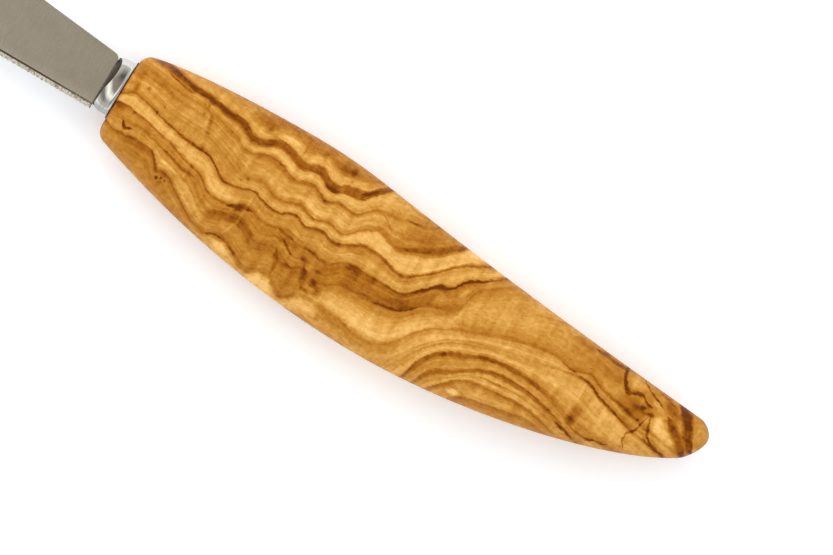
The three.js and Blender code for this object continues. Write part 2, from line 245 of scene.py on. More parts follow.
BEAD_CROWN = HEEL_X + 1.65
BEAD_REAR = BEAD_CROWN + 0.65
FLANGE_FRONT = -0.45
FLANGE_REAR = -0.03
JOINT_LINE = -0.2
NOSE_RADIUS = 4.3
BEAD_RADIUS = 4.85
NECK_RADIUS = 4.82
COVE_RADIUS = 4.78
FILLET_RADIUS = 5.12
FLANGE_RADIUS = 5.3
JOINT_RADIUS = 5.2
COLLAR_FLATNESS = 0.8
COLLAR_SIDES = 128
SLOT_HALF_WIDTH = 2.8
SLOT_HALF_THICKNESS = 1.05
SPIGOT_REAR = 4.0
SPIGOT_WALL = 0.6
SPIGOT_RADIUS = hypot(SLOT_HALF_WIDTH, SLOT_HALF_THICKNESS) + SPIGOT_WALL
FILED_OUT = 0.415  # filed back for each millimetre out from the blade
FILED_UP = 0.19  # and for each millimetre up to the spine
FILED_START = -0.47  # from the heel, beside the blade
RIM_BREAK = 0.05


def bow(start, pull, end, steps):
    """Points along a curve from start that leans towards pull, without the last one."""
    return [
        tuple(
            (1 - t) ** 2 * a + 2 * t * (1 - t) * b + t * t * c
            for a, b, c in zip(start, pull, end)
        )
        for t in (i / steps for i in range(steps))
    ]


def drawn_out(bm, edges, length):
    """A wall along the knife from a loop of edges."""
    wall = bmesh.ops.extrude_edge_only(bm, edges=edges)["geom"]
    far_end = [g for g in wall if isinstance(g, bmesh.types.BMVert)]
    bmesh.ops.translate(bm, vec=(length, 0, 0), verts=far_end)


# Half the turned profile, as (place along the knife, radius): the nose and the bead, the neck, the
# cove, and the flange with its rounded front.
nose = (HEEL_X, NOSE_RADIUS)
crown = (BEAD_CROWN, BEAD_RADIUS)
neck = (BEAD_REAR, NECK_RADIUS)
fillet = (FLANGE_FRONT + 0.12, FILLET_RADIUS)
flange = (FLANGE_FRONT + 0.2, FLANGE_RADIUS)
profile = [
    *bow(nose, (HEEL_X + 0.8, BEAD_RADIUS), crown, 16),
    *bow(crown, (BEAD_CROWN + 0.35, BEAD_RADIUS), neck, 8),
    *bow(neck, (FLANGE_FRONT, COVE_RADIUS), fillet, 14),
    *bow(fillet, (FLANGE_FRONT + 0.15, FLANGE_RADIUS), flange, 5),
    flange,
    (JOINT_LINE, FLANGE_RADIUS),
    (FLANGE_REAR, JOINT_RADIUS),
]
bm = bmesh.new()
corners = [bm.verts.new((x, radius, 0)) for x, radius in profile]
outline = [bm.edges.new(pair) for pair in zip(corners, corners[1:])]
bmesh.ops.spin(
    bm, geom=corners + outline, cent=(0, 0, 0), axis=(1, 0, 0),
    angle=2 * pi, steps=COLLAR_SIDES, use_merge=True,
)
bmesh.ops.scale(bm, vec=(1, 1, COLLAR_FLATNESS), verts=bm.verts[:])
front_rim = [e for e in bm.edges if e.is_boundary and e.verts[0].co.x < BEAD_REAR]
rear_rim = [e for e in bm.edges if e.is_boundary and e.verts[0].co.x > BEAD_REAR]
facing_back = Matrix.Rotation(pi / 2, 4, "Y")

# The flange's back and the spigot.
bmesh.ops.create_circle(
    bm, segments=COLLAR_SIDES, radius=SPIGOT_RADIUS,
    matrix=Matrix.Translation((FLANGE_REAR, 0, 0)) @ facing_back,
)
seat = [e for e in bm.edges if e.is_wire]
bmesh.ops.bridge_loops(bm, edges=rear_rim + seat)
drawn_out(bm, seat, SPIGOT_REAR - FLANGE_REAR)

# The slot for the tang goes right through.
slot_shape = Matrix.Diagonal((1, SLOT_HALF_WIDTH, SLOT_HALF_THICKNESS, 1))
squared = Matrix.Rotation(pi / 4, 4, "Z")
bmesh.ops.create_circle(
    bm, segments=4, radius=sqrt(2),
    matrix=Matrix.Translation((HEEL_X, 0, 0)) @ slot_shape @ facing_back @ squared,
)
slot_edges = [e for e in bm.edges if e.is_wire]
bmesh.ops.subdivide_edges(bm, edges=slot_edges, cuts=COLLAR_SIDES // 4 - 1)
mouth = [e for e in bm.edges if e.is_wire]
bmesh.ops.bridge_loops(bm, edges=front_rim + mouth)
drawn_out(bm, mouth, SPIGOT_REAR - HEEL_X)
bmesh.ops.bridge_loops(bm, edges=[e for e in bm.edges if e.is_boundary])
bmesh.ops.recalc_face_normals(bm, faces=bm.faces[:])

# The front is filed back on each side of the blade, more towards the spine, and the filed rim is
# broken.
for side in (1, -1):
    bmesh.ops.bisect_plane(
        bm, geom=bm.verts[:] + bm.edges[:] + bm.faces[:], dist=1e-5, clear_outer=True,
        plane_co=(HEEL_X + FILED_START, 0, side * SLOT_HALF_THICKNESS),
        plane_no=(-1, FILED_UP, side * FILED_OUT),
    )
    open_edges = [e for e in bm.edges if e.is_boundary]
    filed = bmesh.ops.holes_fill(bm, edges=open_edges)["faces"]
    bmesh.ops.recalc_face_normals(bm, faces=bm.faces[:])
    filed_edges = dict.fromkeys(e for f in filed for e in f.edges)
    filed_rim = [e for e in filed_edges if e.verts[0].co.x > HEEL_X + 0.02]
    bmesh.ops.bevel(
        bm, geom=filed_rim, offset=RIM_BREAK,
        affect="EDGES", segments=2, profile=0.5, material=-1, clamp_overlap=True,
    )

# Polished steel with faint turning lines, and painted shade towards the belly side, standing for
# the shadowed sheet that the steel mirrors there. The filed recess, the seam behind the heel and
# the joint with the wood are rougher and have painted shade, as shade falls in them.
polished_steel, shader = start_material("polished_steel")
place = drawing_place()
turning = noise(stretched(place, (9, 0.4, 0.4)), detail=3, roughness=0.6)
collar = add("SeparateXYZ", {"Vector": place}).outputs
filed_x = maths(
    "ADD",
    HEEL_X + FILED_START - FILED_OUT * SLOT_HALF_THICKNESS,
    maths(
        "ADD",
        maths("MULTIPLY", maths("ABSOLUTE", collar["Z"]), FILED_OUT),
        maths("MULTIPLY", collar["Y"], FILED_UP),
    ),
)
# painted shade in the filed recess
painted_recess_shade = remap(maths("SUBTRACT", collar["X"], filed_x), 0.02, 0.05, 1.0, 0.0)
# painted shade along the joint with the wood, fainter towards the top
painted_joint_shade = maths(
    "MULTIPLY",
    remap(collar["X"], JOINT_LINE - 0.06, JOINT_LINE, 0.0, 0.85),
    remap(collar["Y"], 3.4, 4.6, 1.0, 0.3),
)
# painted shade along the seam behind the heel
behind_heel = maths("SUBTRACT", collar["X"], remap(collar["Y"], -4.4, -1.6, 0.0, 0.2))
painted_heel_seam_shade = remap(behind_heel, HEEL_X + 0.10, HEEL_X + 0.18, 0.95, 0.0)
painted_shade_and_rough = maths("MAXIMUM", maths("MAXIMUM", painted_recess_shade, painted_joint_shade), painted_heel_seam_shade)
# painted shade towards the belly side, for the shadowed sheet that the steel mirrors there
painted_belly_shade = remap(collar["Y"], -4.0, -3.2, 1.0, 0.0)
polish = mix(painted_belly_shade, remap(turning, 0.3, 0.7, 0.5, 1.0), remap(turning, 0.3, 0.7, 0.38, 0.46))
join(ramp(mix(painted_shade_and_rough, polish, remap(turning, 0.3, 0.7, 0.0, 0.3)), [
    (0.00, srgb(66, 57, 50)),
    (0.30, srgb(92, 84, 76)),
    (0.50, srgb(190, 188, 183)),
    (1.00, srgb(212, 210, 205)),
]), shader.inputs["Base Color"])
join(mix(painted_shade_and_rough, remap(turning, 0.3, 0.7, 0.07, 0.14), 0.38), shader.inputs["Roughness"])
shader.inputs["Metallic"].default_value = 1.0

bolster = finished_piece(bm, "bolster_turned", polished_steel, crease=28)
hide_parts("bolster")

# --------------------------------------------------------------------------------------------------
# Epoxy: clear resin, poured into the bore round the tang and cured there. It holds the blade in the
# wood and can't be seen once the bolster is seated.

amber_resin, shader = start_material("amber_resin")
swirl = noise(stretched(drawing_place(), (0.3, 0.8, 0.8)), detail=3)
join(ramp(swirl, [
    (0.35, srgb(196, 166, 104)),
    (0.65, srgb(224, 200, 146)),
]), shader.inputs["Base Color"])
join(remap(swirl, 0.3, 0.7, 0.25, 0.4), shader.inputs["Roughness"])
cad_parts["tang_epoxy"].data.materials.clear()
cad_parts["tang_epoxy"].data.materials.append(amber_resin)

# --------------------------------------------------------------------------------------------------
# Handle: one piece of olive wood, shaped by hand from an arched blank, sanded smooth and oiled. A
# blind bore in its front face takes the spigot, the tang and the epoxy.

HANDLE_LENGTH = 110.0
FRONT_CORNER = 1.5
TAIL_ROUND = 2.8
TAIL_END = HANDLE_LENGTH - 0.002
FRONT_THICKNESS = 14
BODY_THICKNESS = 16
TAIL_THICKNESS = 8
FRONT_TAPER = 6  # where the front's taper ends
TAIL_TAPER = 72  # where the tail's taper starts
SECTION_POWER = 0.8  # 1 is an oval, less is squarer
SIDE_FLAT = 13.5  # half the flat along each side, in degrees of the section
SECTION_SIDES = 112
SANDED_OFF = 0.0027  # as a share of the height
BORE_CLEARANCE = 0.3
BORE_RADIUS = SPIGOT_RADIUS + BORE_CLEARANCE
BORE_DEPTH = 57.75
ARCH_STEPS = 200
FRONT_STEPS = 10
BODY_STEPS = 100
TAIL_STEPS = 16


def arch(
    front, crest_x, crest, tail,
    front_pull, front_aim, crest_lead, crest_trail, tail_pull, tail_aim,
):
    """One side of the outline: from the front to its crest and on to the tail, as points."""
    run = HANDLE_LENGTH - crest_x
    rise = [
        (0, front),
        (crest_x * front_pull, front + (crest - front) * front_aim),
        (crest_x * (1 - crest_lead), crest),
        (crest_x, crest),
    ]
    fall = [
        (crest_x, crest),
        (crest_x + run * crest_trail, crest),
        (crest_x + run * tail_pull, crest + (tail - crest) * tail_aim),
        (HANDLE_LENGTH, tail),
    ]
    return [
        tuple(
            (1 - t) ** 3 * a + 3 * t * (1 - t) ** 2 * b + 3 * t * t * (1 - t) * c + t ** 3 * d
            for a, b, c, d in zip(*part)
        )
        for part in (rise, fall)
        for t in (i / ARCH_STEPS for i in range(ARCH_STEPS + 1))
    ]


def height_at(points, x):
    """The height of a side of the outline at x."""
    for (x0, y0), (x1, y1) in zip(points, points[1:]):
        if x1 >= x and x1 > x0:
            return y0 + (y1 - y0) * (x - x0) / (x1 - x0)
    return points[-1][1]


spine_side = arch(
    front=6.7, crest_x=32, crest=9.75, tail=2.5, front_pull=0.23, front_aim=0.9,
    crest_lead=0.05, crest_trail=0.18, tail_pull=0.2, tail_aim=0.36,
)
belly_side = arch(
    front=-8.2, crest_x=52.5, crest=-17.1, tail=-2.5, front_pull=0.28, front_aim=0.55,
    crest_lead=0.39, crest_trail=0.38, tail_pull=0.87, tail_aim=0.48,
)


def ease(x, low, high):
    """A smooth rise from 0 at low to 1 at high."""
    t = min(1.0, max(0.0, (x - low) / (high - low)))
    return t * t * (3 - 2 * t)


def swell(share):
    """A point of a circle pushed out towards the corners of its square."""
    return abs(share) ** SECTION_POWER * (1 if share >= 0 else -1)


def edges_of(ring):
    """The edges of a loop of vertices."""
    return list(dict.fromkeys(edge for vert in ring for edge in vert.link_edges))


def section_ring(bm, x):
    """A flattened oval across the handle at x, with a narrow flat on each side, as edges."""
    inset = FRONT_CORNER - sqrt(FRONT_CORNER ** 2 - max(0.0, FRONT_CORNER - x) ** 2)
    past_body = max(0.0, x - HANDLE_LENGTH + TAIL_ROUND)
    share = sqrt(max(0.0, 1 - (past_body / TAIL_ROUND) ** 2))
    top = height_at(spine_side, x) - inset
    bottom = height_at(belly_side, x) + inset
    grown_by = (BODY_THICKNESS - FRONT_THICKNESS) * (2 * ease(x, -FRONT_TAPER, FRONT_TAPER) - 1)
    full = FRONT_THICKNESS + grown_by
    tail_share = 2 * ease(x, TAIL_TAPER, 2 * HANDLE_LENGTH - TAIL_TAPER)
    thickness = full + (TAIL_THICKNESS - full) * tail_share
    half_height = (top - bottom) / 2 * (1 - SANDED_OFF) * share
    half_thickness = (thickness / 2 - inset) * share
    flat_from = swell(cos(radians(SIDE_FLAT)))
    ring = bmesh.ops.create_circle(bm, segments=SECTION_SIDES, radius=1)["verts"]
    for vert in ring:
        across, up = vert.co.x, vert.co.y
        vert.co = (
            x,
            (top + bottom) / 2 + half_height * swell(across),
            half_thickness * min(1.0, max(-1.0, swell(up) / flat_from)),
        )
    return edges_of(ring)


# Sections round the front corner, along the body and round the tail.
body_length = HANDLE_LENGTH - TAIL_ROUND - FRONT_CORNER
tail_start = HANDLE_LENGTH - TAIL_ROUND
stations = [FRONT_CORNER * (1 - cos(pi / 2 * i / FRONT_STEPS)) for i in range(FRONT_STEPS)]
stations += [FRONT_CORNER + body_length * i / BODY_STEPS for i in range(BODY_STEPS)]
stations += [tail_start + TAIL_ROUND * sin(pi / 2 * i / TAIL_STEPS) for i in range(TAIL_STEPS)]
stations += [TAIL_END]

bm = bmesh.new()
bore_mouth = bmesh.ops.create_circle(
    bm, segments=SECTION_SIDES, radius=BORE_RADIUS,
    matrix=Matrix.Rotation(pi / 2, 4, "X") @ facing_back,
)["verts"]
rings = [edges_of(bore_mouth)] + [section_ring(bm, x) for x in stations]
for ring, following in zip(rings, rings[1:]):
    bmesh.ops.bridge_loops(bm, edges=ring + following)
bmesh.ops.holes_fill(bm, edges=rings[-1])
drawn_out(bm, rings[0], BORE_DEPTH)
bmesh.ops.holes_fill(bm, edges=[e for e in bm.edges if e.is_boundary])

# Olive wood: growth lines laid along the handle, each a run of (place, height), from the
# spine down.
olive_wood, shader = start_material("oiled_olive_wood")
place = drawing_place()
grain_lines = [
    # the dark band under the spine, which leaves the wood behind the crest
    [(-2, 8.6), (3, 7.6), (5.5, 7.2), (8, 6.7), (9.2, 6.45), (11, 6.3), (12.5, 6.3), (14.8, 5.95),
     (17, 5.65), (19, 5.6), (20.2, 5.2), (21.5, 4.4), (23.2, 4.25), (24.6, 4.9), (26.5, 5.75),
     (28.5, 5.4), (30, 4.9), (31.2, 4.5), (32.5, 5.0), (34.2, 5.5), (35.2, 5.05), (36.3, 4.2),
     (37.6, 4.1), (38.8, 4.7), (40.3, 5.2), (42, 5.6), (43.5, 7.2), (44.6, 8.4), (47, 10.2),
     (52, 12.3), (112, 12.8)],
    # the first three waves under it
    [(-2, 5.6), (5, 5.0), (10, 4.7), (13, 4.6), (15.3, 4.2), (17.5, 3.6), (20, 2.9), (22, 1.95),
     (22.8, 2.0), (24.2, 2.6), (26, 3.25), (27.5, 3.1), (28.6, 2.8), (30, 2.2), (31.5, 2.0),
     (33, 2.6), (34.5, 2.8), (36, 2.2), (37, 1.65), (38, 1.9), (39.5, 2.5), (41, 2.25),
     (42.4, 2.15), (43.5, 3.0), (44.5, 4.0), (45.5, 4.6), (46.7, 4.8), (47.8, 4.95), (48.8, 4.9),
     (49.6, 5.1), (50.3, 5.6), (51.3, 5.85), (52.6, 6.0), (53.8, 6.35), (55, 7.1), (58, 8.8),
     (64, 11.6), (112, 12.5)],
    [(-2, 2.6), (3, 3.0), (8, 1.8), (12, 1.6), (16, 1.4), (20, 0.3), (22.5, -0.6), (24.6, -1.65),
     (25.6, -1.25), (26.6, -1.05), (27.8, -1.2), (29, -1.7), (30.3, -2.1), (31.6, -2.0),
     (33, -1.35), (34.5, -1.15), (36, -1.7), (37, -1.9), (38.2, -1.6), (39.6, -1.1), (41, -1.5),
     (42, -1.65), (43, -1.2), (44.2, 0.2), (45, 0.95), (46, 1.3), (47.2, 1.9), (48.5, 1.6),
     (49.5, 1.2), (50.6, 0.9), (51.6, 0.75), (52.6, 1.2), (54, 1.9), (56, 2.7), (57.4, 3.5),
     (58.6, 4.7), (60.2, 6.0), (63, 8), (70, 11.2), (112, 12.2)],
    [(-2, -1.2), (0.5, -0.2), (2.3, 0.8), (4, 0.4), (6.7, -0.2), (8.2, -0.65), (10, -0.95),
     (12.5, -1.45), (15, -1.6), (17, -1.7), (18.5, -2.3), (20, -3.4), (21.6, -4.2), (23.2, -3.95),
     (25, -3.4), (26.8, -3.0), (28, -3.4), (29.6, -3.75), (31.5, -4.0), (33, -3.3), (34.5, -2.8),
     (36.5, -3.6), (38, -3.1), (39.8, -2.8), (41, -3.4), (42.5, -3.4), (43.7, -2.8), (45, -2.1),
     (45.9, -1.5), (47.5, -1.3), (48.8, -1.3), (50, -1.6), (51.5, -2.1), (53, -2.5), (54, -2.5),
     (55, -2.1), (56, -1.3), (57.5, 0), (59, 1.4), (60.5, 3.1), (62, 4.3), (63.5, 5.0), (65, 5.8),
     (66.5, 6.6), (75, 10.6), (112, 11.9)],
    # the upper and the lower side of the brown band that sweeps up behind the middle
    [(-2, -2.2), (0.8, -1.8), (2.5, -1.7), (4, -2.0), (5.5, -2.1), (7, -2.4), (8.5, -2.9),
     (10, -3.1), (11.5, -3.35), (13, -3.9), (14.5, -4.45), (16.5, -4.9), (18, -5.35), (19, -6.0),
     (20, -6.8), (21.5, -7.25), (23, -7.2), (24.3, -6.9), (25.5, -6.2), (26.6, -5.6), (27.6, -5.6),
     (29, -6.2), (30.5, -6.6), (32, -6.5), (33.5, -6.0), (35, -6.2), (36.9, -7.0), (38.5, -6.7),
     (40, -6.6), (41.5, -7.0), (43, -6.9), (44.2, -6.0), (45.4, -5.2), (46.5, -5.1), (48, -5.0),
     (50, -5.1), (52, -4.95), (54, -5.0), (55.5, -4.7), (56.5, -4.0), (57.5, -3.0), (58.5, -2.2),
     (59.2, -1.2), (59.8, -0.65), (60.5, -0.3), (61.3, -0.25), (62.1, 0.3), (62.8, 1.4),
     (63.5, 2.4), (64.5, 3.1), (65.5, 3.5), (66.5, 4.3), (67.5, 5.0), (68.7, 5.8), (80, 10.2),
     (112, 11.6)],
    [(-2, -4.4), (3, -4.0), (6, -3.9), (8, -4.3), (12, -5.15), (14.5, -5.75), (16.5, -6.0),
     (18, -6.9), (20, -8.6), (22, -9.5), (23.5, -8.9), (25, -8.4), (27, -8.1), (29, -9.0),
     (31, -9.9), (33.5, -9.0), (35.5, -9.6), (37.5, -10.4), (40, -9.6), (43, -10.4), (46, -8.9),
     (49, -8.6), (52, -8.35), (53.5, -8.15), (55, -7.9), (56.7, -7.25), (58.2, -6.0), (59.2, -4.8),
     (61, -4.0), (62.5, -3.6), (64.2, -2.9), (64.9, -1.8), (65.2, 0), (65.6, 1.6), (66.6, 2.6),
     (68, 3.6), (70, 5.0), (73, 6.6), (84, 10.2), (112, 11.3)],
    # along the belly, up behind the middle and on to the tail, as two lines there
    [(-2, -5.2), (0.2, -5.4), (1.4, -6.0), (3.5, -6.1), (5.5, -5.8), (8.8, -5.8), (9.6, -6.3),
     (10.5, -7.4), (11.3, -8.15), (12.4, -8.0), (13.2, -8.1), (14.2, -8.6), (15.5, -9.6),
     (17, -10.6), (18.5, -11.5), (20, -12.2), (21.5, -12.7), (23, -13), (24.5, -12.3), (26, -12.2),
     (27.5, -12.7), (29.2, -13.6), (31.5, -14.6), (33, -14), (34.5, -13.2), (35.6, -13.3),
     (37, -14.3), (38.8, -15.3), (41, -13.6), (44, -13.2), (47, -13.5), (49.5, -13.75), (51, -14.2),
     (53, -14.6), (55, -14.4), (57, -13.4), (58.5, -12), (60, -9.9), (61.2, -8.4), (62.5, -7.2),
     (64, -6.4), (66, -5.4), (68, -4.7), (71, -3.4), (75, -2.0), (79, -1.0), (82.5, -0.75),
     (84, -1.1), (85.5, -1.35), (87, -0.85), (88.2, -0.4), (89.5, -0.8), (91, -1.4), (93.5, -1.9),
     (96, -2.4), (99, -3.2), (112, -5)],
    [(-2, -14), (20, -17.5), (40, -20), (57, -19.5), (60, -15), (62, -12), (64.5, -9.0), (67, -7.2),
     (71, -5.6), (76, -4.3), (81, -3.2), (85.5, -1.9), (87.5, -1.65), (89.5, -2.05), (91.5, -2.95),
     (93.5, -3.5), (95, -4.0), (97, -4.6), (99, -4.9), (112, -7)],
    # the arcs over the knot on the belly
    [(-2, -19), (40, -24), (58, -24), (61.4, -19), (62.3, -16), (62.6, -14.5), (63.2, -13),
     (64.2, -11.5), (65.2, -10.2), (66.3, -9.5), (67.5, -8.75), (69.5, -8.0), (71, -7.3),
     (72, -6.8), (73.5, -6.45), (76, -6.2), (79, -6.1), (82, -6.35), (84.5, -6.9), (86.7, -7.7),
     (90, -8.2), (98, -9.0), (112, -9.5)],
    [(-2, -22), (40, -26), (58, -26), (63, -20), (64.3, -16), (65, -14.5), (66.2, -13.2),
     (67.5, -12.4), (69, -11.6), (70.5, -10.4), (72, -9.4), (73.5, -8.6), (75, -8.2), (77, -8.0),
     (79, -8.0), (82, -8.3), (85, -8.9), (87, -9.4), (88.5, -10), (90.5, -10.7), (112, -13)],
    [(-2, -25), (40, -28), (58, -28), (64, -22), (66, -17.5), (68.5, -14.0), (71, -11.9),
     (74, -11.3), (76, -11), (80, -10.7), (84, -11), (88, -12), (112, -16)],
    [(-2, -28), (40, -30), (58, -30), (65, -23), (68, -18.5), (70, -16.2), (72.5, -14.2),
     (75, -13.7), (78, -13), (80, -12.5), (83, -12.05), (86, -12.3), (90, -13.5), (112, -18)],
]
# The tone across the lines, from 0, dark, to 1, pale: each whole number is one of the lines above.
# The tones change along the handle: behind the bolster, in the waves, where the lines sweep up,
# over the knot and at the tail. The arcs on the belly are the same in the sweep and over the knot.
front_tones = [
    (0.50, 0.50), (0.68, 0.62), (0.80, 0.72), (0.88, 0.66), (0.91, 0.42), (0.94, 0.12),
    (1.00, 0.05), (1.12, 0.10), (1.26, 0.33), (1.38, 0.50), (1.50, 0.58), (1.62, 0.62),
    (1.78, 0.57), (1.90, 0.52), (1.97, 0.38), (2.06, 0.45), (2.20, 0.56), (2.60, 0.57),
    (2.85, 0.61), (2.98, 0.68), (3.12, 0.57), (3.40, 0.60), (3.75, 0.56), (3.90, 0.48),
    (3.97, 0.20), (4.03, 0.22), (4.12, 0.67), (4.25, 0.75), (4.60, 0.82), (4.80, 0.76),
    (4.90, 0.53), (4.97, 0.22), (5.04, 0.22), (5.15, 0.37), (5.40, 0.53), (5.75, 0.52),
    (5.92, 0.47), (6.05, 0.47), (6.20, 0.54), (6.50, 0.64), (6.80, 0.60), (6.92, 0.44),
    (6.98, 0.17), (7.03, 0.41), (7.10, 0.48), (7.30, 0.50), (7.50, 0.52),
]
wave_tones = [
    (0.40, 0.54), (0.52, 0.44), (0.62, 0.41), (0.72, 0.54), (0.82, 0.70), (0.89, 0.66),
    (0.91, 0.30), (0.93, 0.09), (1.02, 0.09), (1.14, 0.11), (1.26, 0.20), (1.31, 0.50),
    (1.40, 0.72), (1.52, 0.78), (1.75, 0.77), (1.90, 0.68), (1.96, 0.38), (2.01, 0.29),
    (2.10, 0.44), (2.22, 0.56), (2.36, 0.63), (2.60, 0.70), (2.80, 0.66), (2.92, 0.56),
    (2.98, 0.30), (3.04, 0.32), (3.16, 0.51), (3.35, 0.66), (3.60, 0.75), (3.82, 0.64),
    (3.92, 0.40), (3.98, 0.16), (4.05, 0.21), (4.14, 0.49), (4.30, 0.61), (4.60, 0.63),
    (4.85, 0.56), (4.95, 0.33), (5.02, 0.28), (5.12, 0.40), (5.30, 0.47), (5.60, 0.44),
    (5.85, 0.33), (6.00, 0.28), (6.15, 0.34), (6.35, 0.43), (6.60, 0.46), (6.85, 0.46),
    (6.96, 0.30), (7.04, 0.42), (7.15, 0.70), (7.30, 0.83), (7.42, 0.76), (7.48, 0.52),
    (7.54, 0.70), (7.62, 0.56), (7.75, 0.66),
]
sweep_tones = [
    (1.15, 0.55), (1.35, 0.70), (1.60, 0.71), (1.88, 0.66), (1.96, 0.44), (2.01, 0.33),
    (2.08, 0.48), (2.25, 0.58), (2.50, 0.60), (2.75, 0.53), (2.92, 0.38), (2.99, 0.23),
    (3.06, 0.42), (3.14, 0.70), (3.35, 0.81), (3.70, 0.87), (3.86, 0.76), (3.94, 0.38),
    (3.99, 0.12), (4.05, 0.30), (4.14, 0.54), (4.40, 0.58), (4.70, 0.68), (4.86, 0.68),
    (4.94, 0.48), (4.99, 0.21), (5.08, 0.24), (5.25, 0.36), (5.50, 0.39), (5.75, 0.36),
    (5.92, 0.28), (6.00, 0.24), (6.06, 0.41), (6.20, 0.51), (6.36, 0.56), (6.46, 0.68),
    (6.60, 0.83), (6.85, 0.87), (6.95, 0.66), (7.00, 0.40), (7.06, 0.58), (7.40, 0.66),
]
knot_tones = [
    (3.70, 0.85), (3.90, 0.52), (3.98, 0.16), (4.06, 0.50), (4.30, 0.74), (4.70, 0.70),
    (4.90, 0.52), (4.98, 0.14), (5.06, 0.16), (5.16, 0.44), (5.40, 0.54), (5.70, 0.52),
    (5.92, 0.46), (6.00, 0.38), (6.10, 0.52), (6.40, 0.60), (6.80, 0.62), (6.93, 0.52),
    (6.99, 0.30), (7.05, 0.54), (7.20, 0.68), (7.50, 0.70), (7.80, 0.70), (8.00, 0.66),
]
arc_tones = [
    (8.30, 0.70), (8.60, 0.76), (8.76, 0.74), (8.86, 0.48), (8.95, 0.29), (9.12, 0.27),
    (9.24, 0.42), (9.36, 0.58), (9.60, 0.68), (9.76, 0.64), (9.85, 0.40), (9.94, 0.24),
    (10.06, 0.24), (10.16, 0.48), (10.24, 0.68), (10.36, 0.72), (10.44, 0.52), (10.52, 0.68),
    (10.70, 0.76), (10.80, 0.62), (10.88, 0.42), (11.00, 0.36), (11.08, 0.52), (11.25, 0.66),
    (11.60, 0.66), (11.85, 0.56), (11.97, 0.28), (12.03, 0.32), (12.05, 0.56), (12.065, 0.64),
    (12.075, 0.40), (12.085, 0.58), (12.10, 0.68), (12.11, 0.42), (12.12, 0.60), (12.14, 0.70),
    (12.40, 0.62),
]
tail_tones = [
    (6.30, 0.44), (6.55, 0.48), (6.80, 0.50), (6.90, 0.56), (6.96, 0.46), (6.99, 0.22),
    (7.06, 0.31), (7.16, 0.52), (7.40, 0.54), (7.70, 0.48), (7.85, 0.28), (7.95, 0.10),
    (8.01, 0.12), (8.04, 0.34), (8.08, 0.58), (8.16, 0.68), (8.40, 0.70), (8.70, 0.66),
    (8.90, 0.54), (9.00, 0.42), (9.10, 0.54), (9.40, 0.62), (9.85, 0.52), (10.00, 0.34),
    (10.15, 0.52), (10.60, 0.58), (11.00, 0.42), (11.20, 0.54), (12.00, 0.36), (12.20, 0.54),
]
